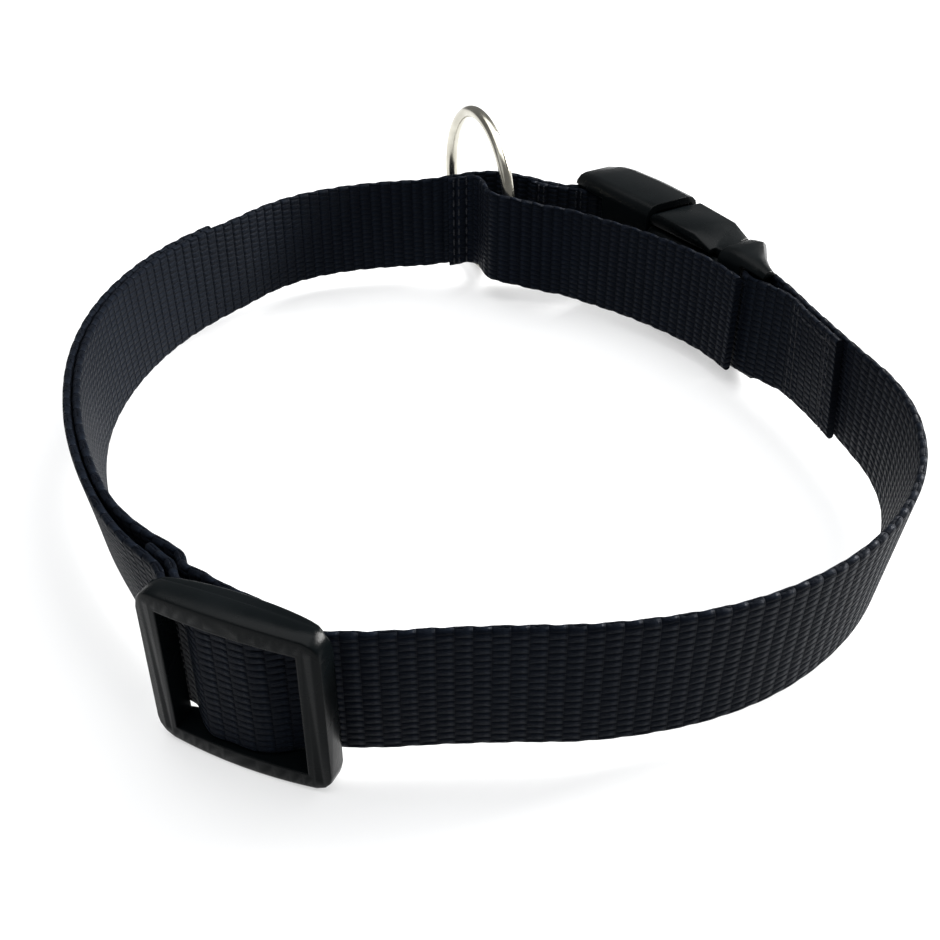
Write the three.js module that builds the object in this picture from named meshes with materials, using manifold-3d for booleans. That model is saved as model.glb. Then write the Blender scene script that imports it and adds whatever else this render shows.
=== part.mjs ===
// A webbing dog collar lying open on a table: two straps, an inner guard strip,
// a slide adjuster, a side-release buckle that is fastened, and a round lead ring.
// Millimetres, +Z up. The loop is drawn in plan round its middle, and its lower
// edge stands clear of the table, because the hardware is taller than the webbing.

import * as THREE from 'three';
import { mergeVertices } from 'three/addons/utils/BufferGeometryUtils.js';
import Module from 'manifold-3d';

const wasm = await Module();
wasm.setup();

// Webbing
const webbingWidth = 25;
const webbingThickness = 1.6;
const selvedgeChamfer = 0.45;
const layerGap = 0.3;
const tailTurn = 131.5;
const foldBackTurn = -90;
const shortEndTurn = 38.5;
const returnTurn = 190;
const guardEndTurn = 175.5;
const guardLeaveTurn = 179.4;
const leanFade = 22;

// Loop in plan
const loopReach = 90;
const turnStep = 7;

// Slide adjuster
const adjusterLength = 33;
const adjusterDepth = 4;
const adjusterRail = 3.6;
const adjusterSideBar = 3.9;
const adjusterBarWidth = 5.5;
const adjusterBarThickness = 1.9;
const adjusterBow = 1.1;
const adjusterBarrel = 0.6;
const adjusterFullness = 0.4;
const adjusterCorner = 3;
const adjusterChamfer = 0.7;
const adjusterTurn = 22.7;
const adjusterStand = 1.1044 * loopReach;
const adjusterYaw = -23.8;
const adjusterLoose = 1.2;
const adjusterBarClear = 0.65;

// Buckle
const buckleLength = 71;
const buckleTurn = 197.3;
const buckleStand = 1.0133 * loopReach;
const buckleYaw = -59;
const buckleDepth = 17.8;
const buckleMouth = 0.777 * buckleLength;
const buckleWaistStart = 0.4225 * buckleLength;
const buckleWaistHalf = 11.2;
const buckleWall = 2;
const buckleCorner = 3.2;
const buckleBarRadius = 1.7;
const buckleBay = 12.5;
const socketBarAlong = 6.4;
const socketBarDepth = 5.6;
const plugBarAlong = buckleLength - 3.7;
const plugBarDepth = 5.8;
const latchArmWidth = 3.8;
const latchButtonReach = 15.4;
const latchButtonInset = 0.6;
const tongueHalf = 3;

// Lead ring
const ringBore = 39.4;
const ringWire = 3.3;
const ringYaw = 112;
const ringTurn = 182.9;
const ringFloorClear = 0.2;
const ringInset = 11.8;

// Worked out from the sizes above
const pitch = webbingThickness + layerGap;
const halfThickness = webbingThickness / 2;
const webbingClear = 0.3;
const floorClear = adjusterRail + webbingClear;
const midHeight = floorClear + webbingWidth / 2;
const bayHalf = webbingWidth / 2 + webbingClear;

const black = { color: 0x23282a, roughness: 0.45, metalness: 0 };
const navy = { color: 0x0b0e17, roughness: 0.85, metalness: 0 };
const nickel = { color: 0xb9b8b0, roughness: 0.22, metalness: 1 };

// Loop: its mid line in plan, by turn clockwise from the front, and how far the
// upper edge leans out, as a share of the webbing's width
const LOOP = [
  { turn: -120, reach: 0.862, lean: -0.06 },
  { turn: -105, reach: 0.857, lean: -0.076 },
  { turn: -90, reach: 0.895, lean: -0.08 },
  { turn: -75, reach: 0.978, lean: 0.02 },
  { turn: -60, reach: 1.022, lean: 0.14 },
  { turn: -45, reach: 1.05, lean: 0.1 },
  { turn: -30, reach: 1.05, lean: 0.03 },
  { turn: -15, reach: 1.024, lean: -0.012 },
  { turn: 0, reach: 1.002, lean: -0.01 },
  { turn: 15, reach: 1.042, lean: 0 },
  { turn: 30, reach: 1.028, lean: 0 },
  { turn: 45, reach: 0.968, lean: 0.16 },
  { turn: 60, reach: 0.934, lean: 0.13 },
  { turn: 75, reach: 0.93, lean: 0.06 },
  { turn: 90, reach: 0.944, lean: 0.03 },
  { turn: 105, reach: 0.964, lean: 0.04 },
  { turn: 120, reach: 0.987, lean: 0.03 },
  { turn: 135, reach: 1.007, lean: 0 },
  { turn: 150, reach: 1.033, lean: 0 },
  { turn: 165, reach: 1.02, lean: 0.05 },
  { turn: 180, reach: 0.995, lean: 0.07 },
  { turn: 195, reach: 1.006, lean: 0.03 },
  { turn: 210, reach: 1.03, lean: 0 },
  { turn: 225, reach: 0.9, lean: 0 },
];

// Long strap through the adjuster: along is a share of half its length, and depth
// goes from 0 over the centre bar to 1 behind the side bars
const LONG_WEAVE = [
  { along: 0.68, depth: 1.08 },
  { along: 0.5, depth: 0.66 },
  { along: 0.33, depth: 0.2 },
  { along: 0.16, depth: 0 },
  { along: -0.16, depth: 0 },
  { along: -0.35, depth: 0.03 },
  { along: -0.52, depth: 0.45 },
  { along: -0.68, depth: 1.02 },
  { along: -0.95, depth: 1.32 },
];

// Short strap behind the adjuster: slack is its distance behind the two layers in
// front of it, in layers
const SHORT_SLACK = [
  { along: -0.33, depth: 0.14, slack: 2.2 },
  { along: -0.5, depth: 0.56, slack: 1.5 },
  { along: -0.68, depth: 1.02, slack: 0.95 },
  { along: -0.95, depth: 1.32, slack: 0.9 },
];

// Short strap down the left side: how many layers it lies inside the long one
const SHORT_LAYER = [
  { turn: 35, layers: 2.35 },
  { turn: 39, layers: 2.15 },
  { turn: 44, layers: 1.35 },
  { turn: 52, layers: 1.02 },
  { turn: 126, layers: 1.02 },
  { turn: 135, layers: 1.02 },
  { turn: 143, layers: 0.3 },
  { turn: 151, layers: 0 },
  { turn: 197, layers: 0 },
];

// Guard strip: its mid line in plan, by turn and reach like the loop's
const GUARD = [
  { turn: 181, reach: 0.943 },
  { turn: 181.7, reach: 0.905 },
  { turn: 182.5, reach: 0.862 },
  { turn: 183.8, reach: 0.834 },
  { turn: 186, reach: 0.823 },
  { turn: 190, reach: 0.826 },
  { turn: 194.1, reach: 0.831 },
  { turn: 198.7, reach: 0.828 },
  { turn: 203.5, reach: 0.81 },
  { turn: 213.5, reach: 0.788 },
  { turn: 223.9, reach: 0.776 },
  { turn: 229.4, reach: 0.773 },
  { turn: 234.8, reach: 0.771 },
  { turn: 241.1, reach: 0.765 },
  { turn: 244.2, reach: 0.762 },
];

// Buckle: faces towards the neck and away from it as shares of its depth, and its
// half height as a share of the webbing bay's
const BUCKLE = [
  { along: 0, inner: 0.03, outer: 0.82, high: 1.2 },
  { along: 0.06, inner: 0.01, outer: 0.93, high: 1.27 },
  { along: 0.163, inner: 0.01, outer: 0.96, high: 1.285 },
  { along: 0.254, inner: 0.04, outer: 1, high: 1.285 },
  { along: 0.437, inner: 0.09, outer: 1, high: 1.285 },
  { along: 0.66, inner: 0.14, outer: 0.98, high: 1.285 },
  { along: 0.777, inner: 0.18, outer: 0.92, high: 1.14 },
  { along: 0.815, inner: 0.19, outer: 0.95, high: 1.2 },
  { along: 0.93, inner: 0.2, outer: 0.56, high: 1.17 },
  { along: 1, inner: 0.2, outer: 0.42, high: 1.12 },
];

function radians(degrees) {
  return degrees * Math.PI / 180;
}

// Plan point at a turn clockwise from the front and a distance from the middle
function polar(turn, reach) {
  return new THREE.Vector2(-Math.sin(radians(turn)) * reach, -Math.cos(radians(turn)) * reach);
}

// Smooth reading of one column of the loop's closed table
function loopColumn(turn, column) {
  const step = LOOP[1].turn - LOOP[0].turn;
  const place = (turn - LOOP[0].turn) / step;
  const row = Math.floor(place);
  const share = place - row;
  const value = (k) => LOOP[(((row + k) % LOOP.length) + LOOP.length) % LOOP.length][column];
  const before = value(-1);
  const start = value(0);
  const end = value(1);
  const after = value(2);
  const slopeIn = (end - before) / 2;
  const slopeOut = (after - start) / 2;
  const a = 2 * start - 2 * end + slopeIn + slopeOut;
  const b = -3 * start + 3 * end - 2 * slopeIn - slopeOut;
  return ((a * share + b) * share + slopeIn) * share + start;
}

// Straight-line reading of a short table between its rows
function tableColumn(table, key, at, column) {
  for (let i = 1; i < table.length; i += 1) {
    const low = table[i - 1];
    const high = table[i];
    if (at <= high[key] || i === table.length - 1) {
      const share = THREE.MathUtils.clamp((at - low[key]) / (high[key] - low[key]), 0, 1);
      return THREE.MathUtils.lerp(low[column], high[column], share);
    }
  }
  return table[0][column];
}

// Plan point of the loop at a turn, moved towards the neck by a distance
function loopPoint(turn, inward = 0) {
  const here = polar(turn, loopReach * loopColumn(turn, 'reach'));
  const ahead = polar(turn + 0.5, loopReach * loopColumn(turn + 0.5, 'reach'));
  const behind = polar(turn - 0.5, loopReach * loopColumn(turn - 0.5, 'reach'));
  const tangent = ahead.sub(behind).normalize();
  const inwardNormal = new THREE.Vector2(tangent.y, -tangent.x);
  return here.addScaledVector(inwardNormal, inward);
}

// Plan points along the loop between two turns
function alongLoop(from, to, inward) {
  const count = Math.max(2, Math.ceil(Math.abs(to - from) / turnStep));
  const points = [];
  for (let i = 0; i <= count; i += 1) {
    const turn = THREE.MathUtils.lerp(from, to, i / count);
    points.push(loopPoint(turn, typeof inward === 'function' ? inward(turn) : inward));
  }
  return points;
}

// A piece's own frame in plan: its place and its yaw
function planFrame(turn, stand, yaw) {
  const place = polar(turn, stand);
  const cos = Math.cos(radians(yaw));
  const sin = Math.sin(radians(yaw));
  const point = (x, y) => new THREE.Vector2(place.x + x * cos - y * sin, place.y + x * sin + y * cos);
  return { place, yaw: radians(yaw), point };
}

const adjusterFrame = planFrame(adjusterTurn, adjusterStand, adjusterYaw);
const buckleFrame = planFrame(buckleTurn, buckleStand, buckleYaw);

// A line moved sideways: a positive distance goes towards the neck
function beside(points, distance) {
  return points.map((point, i) => {
    const before = points[Math.max(0, i - 1)];
    const after = points[Math.min(points.length - 1, i + 1)];
    const tangent = after.clone().sub(before).normalize();
    return new THREE.Vector2(point.x + tangent.y * distance, point.y - tangent.x * distance);
  });
}

// Points on an arc in a piece's own frame, angles in degrees
function arcPoints(frame, x, y, radius, from, to, count) {
  const points = [];
  for (let i = 0; i <= count; i += 1) {
    const angle = radians(THREE.MathUtils.lerp(from, to, i / count));
    points.push(frame.point(x + radius * Math.cos(angle), y + radius * Math.sin(angle)));
  }
  return points;
}

// Buckle shape in its own frame, where x runs from the socket's end to the plug's
function buckleFace(along, column) {
  return buckleDepth * tableColumn(BUCKLE, 'along', along / buckleLength, column);
}

function buckleHalfHeight(along) {
  return bayHalf * tableColumn(BUCKLE, 'along', along / buckleLength, 'high');
}

// Ring: upright, its near side in the guard strip's pocket and the strap through it
const ringRadius = (ringBore + ringWire) / 2;
const ringHeight = ringFloorClear + ringRadius + ringWire / 2;
const ringHinge = loopPoint(ringTurn);
const ringOffset = ringRadius - ringInset / Math.sin(radians(ringYaw));
const ringChord = Math.sqrt((ringBore / 2) ** 2 - (ringOffset + pitch / 2) ** 2);
const strapLift = Math.max(0, ringHeight - ringChord + 1.8 * layerGap - floorClear);
const liftSpan = 14;

// How far the ring under it lifts the webbing at a plan point
function liftAt(point) {
  const turn = THREE.MathUtils.radToDeg(Math.atan2(-point.x, -point.y));
  const away = Math.abs(((turn - ringTurn + 540) % 360) - 180) / liftSpan;
  return away < 1 ? strapLift * Math.cos(away * Math.PI / 2) ** 2 : 0;
}

const barPlaces = [
  buckleFrame.point(plugBarAlong, plugBarDepth),
  buckleFrame.point(socketBarAlong, socketBarDepth),
];

// How far the upper edge leans out; it comes upright where it goes round a bar
function leanAt(point) {
  const turn = THREE.MathUtils.radToDeg(Math.atan2(-point.x, -point.y));
  const nearest = Math.min(...barPlaces.map((bar) => Math.hypot(bar.x - point.x, bar.y - point.y)));
  const share = THREE.MathUtils.smoothstep(nearest, 2 * wrapRadius, leanFade);
  return share * webbingWidth * loopColumn(turn, 'lean');
}

// Long strap: sewn round the plug's bar, along the front, through the adjuster and
// down the left side on the outside, to its free end
const wrapRadius = buckleBarRadius + layerGap + halfThickness + 0.2;
const adjusterHalf = adjusterLength / 2;
const behindSideBar = adjusterDepth + layerGap + halfThickness;

function weavePoint(row, further = 0) {
  const depth = THREE.MathUtils.lerp(halfThickness, behindSideBar, row.depth);
  return adjusterFrame.point(row.along * adjusterHalf, depth + further);
}

const longOverFront = [...alongLoop(-107, 10, 0)];
const longWeave = LONG_WEAVE.map((row) => weavePoint(row));
const longTail = alongLoop(34.7, tailTurn, 0);
const longRoute = [
  ...alongLoop(foldBackTurn, -106, pitch),
  ...arcPoints(buckleFrame, plugBarAlong, plugBarDepth, wrapRadius, -80, -270, 7),
  ...longOverFront,
  ...longWeave,
  ...longTail,
];

// Short strap: round the adjuster's centre bar, down the left side on the inside,
// along the back, through the ring and round the socket's bar
const centreBarFront = halfThickness + pitch + halfThickness + adjusterBarClear;
const centreBarBack = centreBarFront + adjusterBarThickness;
const shortFront = halfThickness + pitch;
const shortBack = centreBarBack + layerGap + halfThickness + adjusterLoose;
const shortWrapRadius = (shortBack - shortFront) / 2;
const shortWrapAlong = adjusterBarWidth / 2 - 0.4;
const shortEnd = beside([...longWeave.slice(4), ...alongLoop(34.7, shortEndTurn, 0)], 1.12 * pitch).reverse();
const shortRoute = [
  ...shortEnd,
  ...arcPoints(adjusterFrame, shortWrapAlong, shortFront + shortWrapRadius, shortWrapRadius, -90, 90, 7),
  ...SHORT_SLACK.map((row) => weavePoint(row, (2 + row.slack) * pitch)),
  ...alongLoop(35, 197, (turn) => pitch * tableColumn(SHORT_LAYER, 'turn', turn, 'layers')),
  ...arcPoints(buckleFrame, socketBarAlong, socketBarDepth, wrapRadius, 135, -50, 7),
  ...alongLoop(197.5, returnTurn, pitch * 1.15),
];

const guardRoute = [
  ...alongLoop(guardEndTurn, guardLeaveTurn, 1.1 * pitch),
  ...GUARD.map((row) => polar(row.turn, row.reach * loopReach)),
];

// The guard strip leans with the webbing it is sewn to, and stands upright past it
function guardLean(point) {
  const away = Math.hypot(point.x, point.y) / loopReach;
  return THREE.MathUtils.smoothstep(away, 0.86, 0.95);
}

// Solid from rings of points, each ring one closed section
function loft(rings, closed = false) {
  const positions = [];
  const indices = [];
  const size = rings[0].length;
  rings.forEach((ring) => ring.forEach((p) => positions.push(p.x, p.y, p.z)));
  const spans = closed ? rings.length : rings.length - 1;
  for (let r = 0; r < spans; r += 1) {
    const next = (r + 1) % rings.length;
    for (let k = 0; k < size; k += 1) {
      const a = r * size + k;
      const b = r * size + (k + 1) % size;
      const c = next * size + (k + 1) % size;
      const d = next * size + k;
      indices.push(a, b, c, a, c, d);
    }
  }
  if (!closed) {
    const last = (rings.length - 1) * size;
    for (let k = 1; k < size - 1; k += 1) {
      indices.push(0, k + 1, k, last, last + k, last + k + 1);
    }
  }
  const geometry = new THREE.BufferGeometry();
  geometry.setAttribute('position', new THREE.Float32BufferAttribute(positions, 3));
  geometry.setIndex(indices);
  return volumeOf(geometry) < 0 ? turnedOver(geometry) : geometry;
}

function volumeOf(geometry) {
  const place = geometry.attributes.position;
  const index = geometry.index;
  const corner = (i) => new THREE.Vector3().fromBufferAttribute(place, index.getX(i));
  let volume = 0;
  for (let i = 0; i < index.count; i += 3) {
    volume += corner(i).dot(corner(i + 1).cross(corner(i + 2))) / 6;
  }
  return volume;
}

function turnedOver(geometry) {
  const index = Array.from(geometry.index.array);
  for (let i = 0; i < index.length; i += 3) {
    [index[i + 1], index[i + 2]] = [index[i + 2], index[i + 1]];
  }
  geometry.setIndex(index);
  return geometry;
}

// Webbing along a route in plan, standing on edge, with chamfered selvedges
function webbing(route, fineness, leanShare = () => 1) {
  const line = new THREE.CatmullRomCurve3(route.map((p) => new THREE.Vector3(p.x, p.y, 0)), false, 'centripetal');
  const stations = line.getPoints((route.length - 1) * fineness);
  const c = selvedgeChamfer;
  const h = halfThickness;
  const w = webbingWidth;
  const outline = [[-h, c], [-h, w - c], [c - h, w], [h - c, w], [h, w - c], [h, c], [h - c, 0], [c - h, 0]];
  const rings = stations.map((point, i) => {
    const before = stations[Math.max(0, i - 1)];
    const after = stations[Math.min(stations.length - 1, i + 1)];
    const tangent = after.clone().sub(before).normalize();
    const outward = new THREE.Vector3(-tangent.y, tangent.x, 0);
    const radial = point.clone().normalize();
    const lift = liftAt(point);
    const lean = leanShare(point) * leanAt(point);
    return outline.map(([across, up]) => {
      const corner = point.clone().addScaledVector(outward, across);
      corner.addScaledVector(radial, lean * (up / w - 0.5));
      corner.z = floorClear + lift + up;
      return corner;
    });
  });
  return loft(rings);
}

// Manifold solids for joining and cutting
function solid(geometry) {
  const bare = geometry.clone();
  bare.deleteAttribute('normal');
  bare.deleteAttribute('uv');
  const merged = mergeVertices(bare, 1e-4);
  return new wasm.Manifold(new wasm.Mesh({
    numProp: 3,
    vertProperties: new Float32Array(merged.attributes.position.array),
    triVerts: new Uint32Array(merged.index.array),
  }));
}

function geometryOf(body) {
  const mesh = body.getMesh();
  const geometry = new THREE.BufferGeometry();
  geometry.setAttribute('position', new THREE.BufferAttribute(new Float32Array(mesh.vertProperties), 3));
  geometry.setIndex(new THREE.BufferAttribute(new Uint32Array(mesh.triVerts), 1));
  return geometry;
}

// One section across x: a rectangle in y and z with rounded corners
function roundedSection(x, yLow, yHigh, zLow, zHigh, corner, arcSteps = 3) {
  const r = Math.min(corner, (yHigh - yLow) / 2.05, (zHigh - zLow) / 2.05);
  const centres = [
    [yHigh - r, zHigh - r, 0],
    [yLow + r, zHigh - r, 90],
    [yLow + r, zLow + r, 180],
    [yHigh - r, zLow + r, 270],
  ];
  const ring = [];
  centres.forEach(([y, z, start]) => {
    for (let k = 0; k <= arcSteps; k += 1) {
      const angle = radians(start + 90 * k / arcSteps);
      ring.push(new THREE.Vector3(x, y + r * Math.cos(angle), z + r * Math.sin(angle)));
    }
  });
  return ring;
}

function block(xLow, xHigh, yLow, yHigh, zLow, zHigh, corner = 0.3, arcSteps = 1) {
  return solid(loft([
    roundedSection(xLow, yLow, yHigh, zLow, zHigh, corner, arcSteps),
    roundedSection(xHigh, yLow, yHigh, zLow, zHigh, corner, arcSteps),
  ]));
}

// Slide adjuster: a bowed frame with a barrel outline, and a bar across its middle
function makeAdjuster() {
  const slot = adjusterHalf - adjusterSideBar;
  const bow = (x) => -adjusterBow * (1 - (x / adjusterHalf) ** 2);
  const barrel = (x) => {
    const edge = Math.max(0, Math.abs(x) - (adjusterHalf - adjusterCorner));
    const rounding = adjusterCorner - Math.sqrt(Math.max(0, adjusterCorner ** 2 - edge ** 2));
    return bayHalf + adjusterRail - adjusterBarrel * (x / adjusterHalf) ** 2 - rounding;
  };
  const railReach = adjusterHalf - adjusterCorner / 2;
  const railBack = (x) => {
    const share = THREE.MathUtils.clamp(1 - Math.abs(x) / railReach, 0, 1);
    return adjusterDepth + (centreBarBack - adjusterDepth) * Math.sin(share * Math.PI / 2) ** adjusterFullness;
  };
  const slab = (reach, high, low, back) => {
    const rings = [];
    for (let i = 0; i <= 16; i += 1) {
      const x = -reach * Math.cos(Math.PI * i / 16);
      rings.push(roundedSection(x, bow(x), back(x), low(x), high(x), adjusterChamfer, 2));
    }
    return solid(loft(rings));
  };
  const plate = slab(adjusterHalf, barrel, (x) => -barrel(x), () => adjusterDepth);
  const window = block(-slot, slot, -adjusterBow - 2, adjusterDepth + 2, -bayHalf, bayHalf, 1.4, 3);
  const rail = slab(railReach, (x) => barrel(x) - 0.3, () => bayHalf + 0.01, railBack);
  const bar = block(-adjusterBarWidth / 2, adjusterBarWidth / 2, centreBarFront, centreBarBack,
    -bayHalf - 1, bayHalf + 1, 0.6, 2);
  return geometryOf(plate.subtract(window).add(rail).add(rail.mirror([0, 0, 1])).add(bar));
}

// Buckle shell between two stations, as a run of sections
function buckleRun(from, to, inset, halfHeight, steps = 8) {
  const rings = [];
  for (let i = 0; i <= steps; i += 1) {
    const x = THREE.MathUtils.lerp(from, to, i / steps);
    const high = halfHeight(x) - inset;
    rings.push(roundedSection(x, buckleFace(x, 'inner') + inset, buckleFace(x, 'outer') - inset,
      -high, high, Math.max(0.6, buckleCorner - inset), 3));
  }
  return solid(loft(rings));
}

// A round bar across a strap bay, its ends buried in the bay's walls
function bayBar(along, depth) {
  const bar = new THREE.CylinderGeometry(buckleBarRadius, buckleBarRadius, 2 * bayHalf + 2, 12);
  bar.rotateX(Math.PI / 2);
  bar.translate(along, depth, 0);
  return solid(bar);
}

function bayCut(from, to) {
  return block(from, to, -5, buckleDepth + 5, -bayHalf, bayHalf, 0.8, 2);
}

function makeSocket() {
  const head = buckleRun(0, buckleWaistStart, 0, buckleHalfHeight, 9);
  const waist = buckleRun(buckleWaistStart - 1, buckleMouth, 0, () => buckleWaistHalf, 8);
  const hollow = buckleRun(buckleBay + buckleWall, buckleMouth + 1, buckleWall,
    () => buckleHalfHeight(buckleWaistStart), 10);
  const bay = bayCut(-2, buckleBay);
  return geometryOf(head.add(waist).subtract(hollow).subtract(bay).add(bayBar(socketBarAlong, socketBarDepth)));
}

function makePlug() {
  const clear = layerGap;
  const base = buckleRun(buckleMouth + clear, buckleLength, 0, buckleHalfHeight, 5);
  const bayStart = plugBarAlong - wrapRadius - halfThickness - 0.6;
  const bay = bayCut(bayStart, buckleLength + 2);
  let body = base.subtract(bay).add(bayBar(plugBarAlong, plugBarDepth));
  const hollowHalf = buckleHalfHeight(buckleWaistStart) - buckleWall;
  const armInset = buckleWall + clear + 0.2;
  const inner = (x) => buckleFace(x, 'inner') + armInset;
  const outer = (x) => buckleFace(x, 'outer') - armInset;
  const armStart = buckleBay + buckleWall + 3;
  const high = hollowHalf - clear;
  [1, -1].forEach((side) => {
    const sections = [
      { x: armStart, top: high - 1.6, low: high - latchArmWidth + 0.8 },
      { x: armStart + 3, top: high - 0.2, low: high - latchArmWidth },
      { x: buckleWaistStart + clear, top: high - 0.2, low: high - latchArmWidth },
      { x: buckleWaistStart + clear + 0.2, top: latchButtonReach - 2.4, low: high - latchArmWidth },
      { x: buckleWaistStart + 4, top: latchButtonReach - 1.6, low: high - latchArmWidth },
      { x: buckleMouth - 9, top: latchButtonReach - 2.2, low: high - latchArmWidth },
      { x: buckleMouth - 3, top: high - 1, low: high - latchArmWidth },
      { x: buckleMouth + 3, top: high - 0.8, low: high - latchArmWidth },
    ];
    const arm = solid(loft(sections.map((s) => roundedSection(s.x, inner(s.x), outer(s.x), s.low, s.top, 1, 2))));
    const cap = [
      { x: buckleWaistStart + clear + 0.2, top: latchButtonReach - 1.2 },
      { x: buckleWaistStart + 3, top: latchButtonReach },
      { x: buckleMouth - 9, top: latchButtonReach - 0.3 },
      { x: buckleMouth - 3, top: buckleWaistHalf + 1.8 },
    ];
    const button = solid(loft(cap.map((s) => roundedSection(s.x, buckleFace(s.x, 'inner') + latchButtonInset,
      buckleFace(s.x, 'outer') - latchButtonInset, buckleWaistHalf + clear + 0.1, s.top, 1, 2))));
    const latch = arm.add(button);
    body = body.add(side > 0 ? latch : latch.mirror([0, 0, 1]));
  });
  const tongue = block(buckleMouth - 14, buckleMouth + 3, inner(buckleMouth), outer(buckleMouth) - clear,
    -tongueHalf, tongueHalf, 1, 2);
  return geometryOf(body.add(tongue));
}

// Round lead ring in the plane x-z of its own frame
function makeRing() {
  const torus = new THREE.TorusGeometry(ringRadius, ringWire / 2, 10, 56);
  torus.rotateX(Math.PI / 2);
  return geometryOf(solid(torus));
}

function named(name, geometry, finish) {
  const shaped = geometry;
  shaped.computeVertexNormals();
  const mesh = new THREE.Mesh(shaped, new THREE.MeshStandardMaterial(finish));
  mesh.name = name;
  return mesh;
}

const collar = new THREE.Group();

collar.add(named('strap_long', webbing(longRoute, 3), navy));
collar.add(named('strap_short', webbing(shortRoute, 3), navy));
collar.add(named('guard_strip', webbing(guardRoute, 3, guardLean), navy));

const adjuster = named('slide_adjuster', makeAdjuster(), black);
adjuster.position.set(adjusterFrame.place.x, adjusterFrame.place.y, midHeight);
adjuster.rotation.z = adjusterFrame.yaw;
collar.add(adjuster);

const buckle = new THREE.Group();
buckle.position.set(buckleFrame.place.x, buckleFrame.place.y, midHeight);
buckle.rotation.z = buckleFrame.yaw;
buckle.add(named('buckle_socket', makeSocket(), black));
buckle.add(named('buckle_plug', makePlug(), black));
collar.add(buckle);

const ring = named('lead_ring', makeRing(), nickel);
const ringDirection = new THREE.Vector2(Math.cos(radians(ringYaw)), Math.sin(radians(ringYaw)));
const ringPlace = ringHinge.clone().addScaledVector(ringDirection, ringOffset);
ring.position.set(ringPlace.x, ringPlace.y, ringHeight);
ring.rotation.z = radians(ringYaw);
collar.add(ring);

// The group's origin is the middle of its footprint, on the table
const extent = new THREE.Box3().setFromObject(collar);
const middle = extent.getCenter(new THREE.Vector3());
collar.children.forEach((piece) => {
  piece.position.x -= middle.x;
  piece.position.y -= middle.y;
  piece.position.z -= extent.min.z;
});

export default collar;
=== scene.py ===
# A webbing dog collar that lies open on a pale table, seen from the front and above.
# Metres, +Z up. The webbing, the ring and the plastic pieces follow the frame's
# solids; this script gives them their weave, stitches, moulded edges and finishes.

import math
from collections import namedtuple

import bmesh
import bpy
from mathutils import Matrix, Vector


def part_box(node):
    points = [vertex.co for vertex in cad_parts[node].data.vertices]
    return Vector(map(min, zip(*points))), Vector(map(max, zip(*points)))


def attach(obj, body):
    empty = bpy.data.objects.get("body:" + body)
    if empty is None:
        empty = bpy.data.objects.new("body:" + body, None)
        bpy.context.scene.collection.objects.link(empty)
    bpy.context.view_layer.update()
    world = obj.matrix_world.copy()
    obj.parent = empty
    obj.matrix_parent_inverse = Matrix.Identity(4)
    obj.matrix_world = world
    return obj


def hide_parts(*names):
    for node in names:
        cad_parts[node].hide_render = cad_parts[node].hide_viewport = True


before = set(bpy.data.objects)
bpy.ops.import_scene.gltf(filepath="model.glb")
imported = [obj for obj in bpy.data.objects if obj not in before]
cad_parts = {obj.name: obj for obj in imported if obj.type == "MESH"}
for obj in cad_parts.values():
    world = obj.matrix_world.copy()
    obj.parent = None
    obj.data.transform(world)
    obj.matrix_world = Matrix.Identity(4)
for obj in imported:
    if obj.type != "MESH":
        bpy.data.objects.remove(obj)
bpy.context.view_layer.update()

MM = 0.001

# Webbing
WEBBING_WIDTH = 25
WEBBING_THICKNESS = 1.6
LAYER_GAP = 0.3
TAIL_TURN = 131.5
FOLD_BACK_TURN = -90
SHORT_END_TURN = 38.5
RETURN_TURN = 190
GUARD_END_TURN = 175.5
GUARD_LEAVE_TURN = 179.4
LEAN_FADE = 22
GRAIN_PITCH = 1.4
GRAIN_LENGTH = 2.9
SELVEDGE_PITCH = 2 * GRAIN_LENGTH
SELVEDGE_BUMP = 0.12
SELVEDGE_FINE_BUMP = SELVEDGE_BUMP * 0.6
SELVEDGE_START = 0.93
SELVEDGE_BAND = 0.07
WEBBING_FLOOR_GAP = 0.3
GUARD_LEAN_START = 0.86
GUARD_LEAN_FULL = 0.95

# How finely the webbing is drawn
LINE_FINENESS = 12
STATION_STEP = 0.7
FACES_ACROSS = 26
EDGE_STEPS = 6

# Turns of the loop where a strip meets or leaves a moulded piece
LONG_MEETS_PLUG = -106
LONG_LEAVES_PLUG = -107
LONG_MEETS_ADJUSTER = 10
LONG_LEAVES_ADJUSTER = 34.7
SHORT_LEAVES_ADJUSTER = 35
SHORT_MEETS_SOCKET = 197
SHORT_LEAVES_SOCKET = 197.5

# How many layers inside the outer one the strips lie at their ends
SHORT_END_LAYER = 1.12
RETURN_LAYER = 1.15
GUARD_LAYER = 1.1

# Arcs round the bars, in degrees
WRAP_STEPS = 7
PLUG_WRAP = (-80, -270)
ADJUSTER_WRAP = (-90, 90)
SOCKET_WRAP = (135, -50)

# Loop in plan
LOOP_REACH = 90
TURN_STEP = 7

# Slide adjuster
ADJUSTER_LENGTH = 33
ADJUSTER_DEPTH = 4
ADJUSTER_RAIL = 3.6
ADJUSTER_BAR_WIDTH = 5.5
ADJUSTER_BAR_THICKNESS = 1.9
ADJUSTER_TURN = 22.7
ADJUSTER_STAND = 1.1044 * LOOP_REACH
ADJUSTER_YAW = -23.8
ADJUSTER_LOOSE = 1.2
ADJUSTER_BAR_CLEAR = 0.65
ADJUSTER_WRAP_INSET = 0.4

# Buckle
BUCKLE_LENGTH = 71
BUCKLE_TURN = 197.3
BUCKLE_STAND = 1.0133 * LOOP_REACH
BUCKLE_YAW = -59
BUCKLE_BAR_RADIUS = 1.7
BUCKLE_BAR_LOOSE = 0.2
SOCKET_BAR_ALONG = 6.4
SOCKET_BAR_DEPTH = 5.6
PLUG_BAR_ALONG = BUCKLE_LENGTH - 3.7
PLUG_BAR_DEPTH = 5.8

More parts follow.
